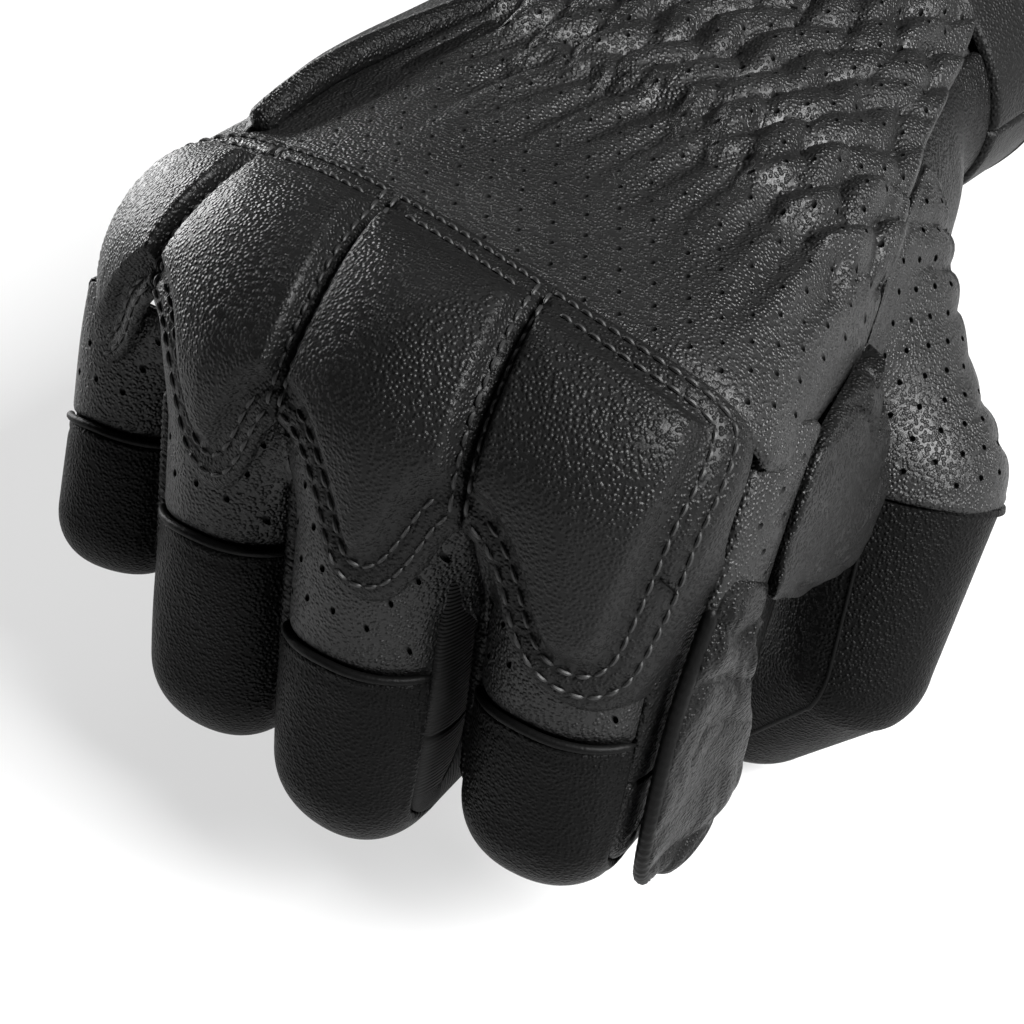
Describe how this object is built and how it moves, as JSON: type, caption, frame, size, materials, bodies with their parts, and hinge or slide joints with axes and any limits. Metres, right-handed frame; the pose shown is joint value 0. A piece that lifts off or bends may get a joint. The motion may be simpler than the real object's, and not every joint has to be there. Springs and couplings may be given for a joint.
{
  "type": "motorcycle glove",
  "caption": "Short black leather riding glove for the right hand, shaped as a fist, with padded knuckle guard, perforated back and wrist strap.",
  "frame": {"origin": "centre of the wrist opening, in the plane of the cuff's bound edge", "axes": "+Y out of the wrist opening, +X towards the thumb side, +Z out of the back of the hand"},
  "size_m": [0.1089, 0.1423, 0.1026],
  "materials": {
    "perforated_leather": "fine grained leather punched with small staggered holes",
    "guard_leather": "smooth satin leather over foam",
    "palm_leather": "soft matt leather",
    "back_leather": "soft grained leather, wrinkled where it bends",
    "stretch_fabric": "ribbed stretch knit",
    "gusset_leather": "soft thin leather with fine creases",
    "piping_leather": "smooth rolled leather",
    "lining_fabric": "brushed knit lining",
    "strap_leather": "smooth pressed leather strap",
    "hook_and_loop": "hook and loop tape"
  },
  "bodies": {
    "hand": {"back_of_hand_panel": "perforated_leather", "palm_panel": "palm_leather", "outer_side_panel": "back_leather", "inner_side_panel": "back_leather", "thumb_web_gusset": "gusset_leather", "wrist_shirring_panel": "back_leather", "cuff_panel": "back_leather", "cuff_binding": "piping_leather", "hand_lining": "lining_fabric", "knuckle_guard_base": "guard_leather", "strap_loop_patch": "hook_and_loop", "index_knuckle_pad": "guard_leather", "middle_knuckle_pad": "guard_leather", "ring_knuckle_pad": "guard_leather", "little_knuckle_pad": "guard_leather"},
    "strap": {"wrist_strap": "strap_leather", "strap_hook_patch": "hook_and_loop", "strap_pull_tab": "strap_leather"},
    "thumb_base": {"thumb_base_back": "perforated_leather", "thumb_base_palm": "palm_leather"},
    "thumb_middle": {"thumb_middle_back": "perforated_leather", "thumb_middle_palm": "palm_leather"},
    "thumb_end": {"thumb_tip": "palm_leather"},
    "index_proximal": {"index_proximal_back": "perforated_leather", "index_proximal_sides": "stretch_fabric", "index_proximal_palm": "palm_leather", "index_piping": "piping_leather", "index_knuckle_leather": "back_leather"},
    "index_middle": {"index_middle_back": "back_leather", "index_middle_palm": "palm_leather"},
    "index_end": {"index_tip": "palm_leather"},
    "middle_proximal": {"middle_proximal_back": "perforated_leather", "middle_proximal_sides": "stretch_fabric", "middle_proximal_palm": "palm_leather", "middle_piping": "piping_leather", "middle_knuckle_leather": "back_leather"},
    "middle_middle": {"middle_middle_back": "back_leather", "middle_middle_palm": "palm_leather"},
    "middle_end": {"middle_tip": "palm_leather"},
    "ring_proximal": {"ring_proximal_back": "perforated_leather", "ring_proximal_sides": "stretch_fabric", "ring_proximal_palm": "palm_leather", "ring_piping": "piping_leather", "ring_knuckle_leather": "back_leather"},
    "ring_middle": {"ring_middle_back": "back_leather", "ring_middle_palm": "palm_leather"},
    "ring_end": {"ring_tip": "palm_leather"},
    "little_proximal": {"little_proximal_back": "perforated_leather", "little_proximal_sides": "stretch_fabric", "little_proximal_palm": "palm_leather", "little_piping": "piping_leather", "little_knuckle_leather": "back_leather"},
    "little_middle": {"little_middle_back": "back_leather", "little_middle_palm": "palm_leather"},
    "little_end": {"little_tip": "palm_leather"}
  },
  "joints": [
    {"name": "index_knuckle", "type": "hinge", "parent": "hand", "child": "index_proximal", "pos_m": [0.037, -0.118, 0.002], "axis": [-1, 0, 0], "range_deg": [0, 70], "deforming": ["index_knuckle_pad"]},
    {"name": "index_second_knuckle", "type": "hinge", "parent": "index_proximal", "child": "index_middle", "pos_m": [0.037, -0.12564, -0.04133], "axis": [-1, 0, 0], "range_deg": [0, 84], "deforming": ["index_knuckle_leather"]},
    {"name": "index_tip_knuckle", "type": "hinge", "parent": "index_middle", "child": "index_end", "pos_m": [0.037, -0.09964, -0.04133], "axis": [-1, 0, 0], "range_deg": [0, 49]},
    {"name": "middle_knuckle", "type": "hinge", "parent": "hand", "child": "middle_proximal", "pos_m": [0.013, -0.123, 0.003], "axis": [-1, 0, 0], "range_deg": [0, 70], "deforming": ["middle_knuckle_pad"]},
    {"name": "middle_second_knuckle", "type": "hinge", "parent": "middle_proximal", "child": "middle_middle", "pos_m": [0.013, -0.13134, -0.04427], "axis": [-1, 0, 0], "range_deg": [0, 84], "deforming": ["middle_knuckle_leather"]},
    {"name": "middle_tip_knuckle", "type": "hinge", "parent": "middle_middle", "child": "middle_end", "pos_m": [0.013, -0.10233, -0.04427], "axis": [-1, 0, 0], "range_deg": [0, 49]},
    {"name": "ring_knuckle", "type": "hinge", "parent": "hand", "child": "ring_proximal", "pos_m": [-0.01, -0.12, 0], "axis": [-1, 0, 0], "range_deg": [0, 70], "deforming": ["ring_knuckle_pad"]},
    {"name": "ring_second_knuckle", "type": "hinge", "parent": "ring_proximal", "child": "ring_middle", "pos_m": [-0.01, -0.12849, -0.04368], "axis": [-1, 0, 0], "range_deg": [0, 84], "deforming": ["ring_knuckle_leather"]},
    {"name": "ring_tip_knuckle", "type": "hinge", "parent": "ring_middle", "child": "ring_end", "pos_m": [-0.01, -0.1015, -0.04415], "axis": [-1, 0, 0], "range_deg": [0, 49]},
    {"name": "little_knuckle", "type": "hinge", "parent": "hand", "child": "little_proximal", "pos_m": [-0.034, -0.111, -0.004], "axis": [-1, 0, 0], "range_deg": [0, 70], "deforming": ["little_knuckle_pad"]},
    {"name": "little_second_knuckle", "type": "hinge", "parent": "little_proximal", "child": "little_middle", "pos_m": [-0.034, -0.12207, -0.03615], "axis": [-1, 0, 0], "range_deg": [0, 84], "deforming": ["little_knuckle_leather"]},
    {"name": "little_tip_knuckle", "type": "hinge", "parent": "little_middle", "child": "little_end", "pos_m": [-0.034, -0.10266, -0.04099], "axis": [-1, 0, 0], "range_deg": [0, 49]},
    {"name": "thumb_swing", "type": "hinge", "parent": "hand", "child": "thumb_base", "pos_m": [0.034, -0.038, 0.002], "axis": [0, 0, 1], "range_deg": [0, 25]},
    {"name": "thumb_knuckle", "type": "hinge", "parent": "thumb_base", "child": "thumb_middle", "pos_m": [0.0505, -0.067, -0.026], "axis": [-0.707, -0.6564, 0.2632], "range_deg": [0, 20]},
    {"name": "thumb_tip_knuckle", "type": "hinge", "parent": "thumb_middle", "child": "thumb_end", "pos_m": [0.053, -0.078, -0.0475], "axis": [-0.707, -0.6564, 0.2632], "range_deg": [0, 40]},
    {"name": "strap_flap", "type": "hinge", "parent": "hand", "child": "strap", "pos_m": [-0.008, -0.034, -0.0265], "axis": [0, -1, 0], "range_deg": [0, 100]}
  ],
  "couplings": [
    {"joint": "index_second_knuckle", "follows": "index_knuckle", "ratio": 1.2},
    {"joint": "index_tip_knuckle", "follows": "index_knuckle", "ratio": 0.7},
    {"joint": "middle_second_knuckle", "follows": "middle_knuckle", "ratio": 1.2},
    {"joint": "middle_tip_knuckle", "follows": "middle_knuckle", "ratio": 0.7},
    {"joint": "ring_second_knuckle", "follows": "ring_knuckle", "ratio": 1.2},
    {"joint": "ring_tip_knuckle", "follows": "ring_knuckle", "ratio": 0.7},
    {"joint": "little_second_knuckle", "follows": "little_knuckle", "ratio": 1.2},
    {"joint": "little_tip_knuckle", "follows": "little_knuckle", "ratio": 0.7},
    {"joint": "thumb_tip_knuckle", "follows": "thumb_knuckle", "ratio": 2}
  ]
}
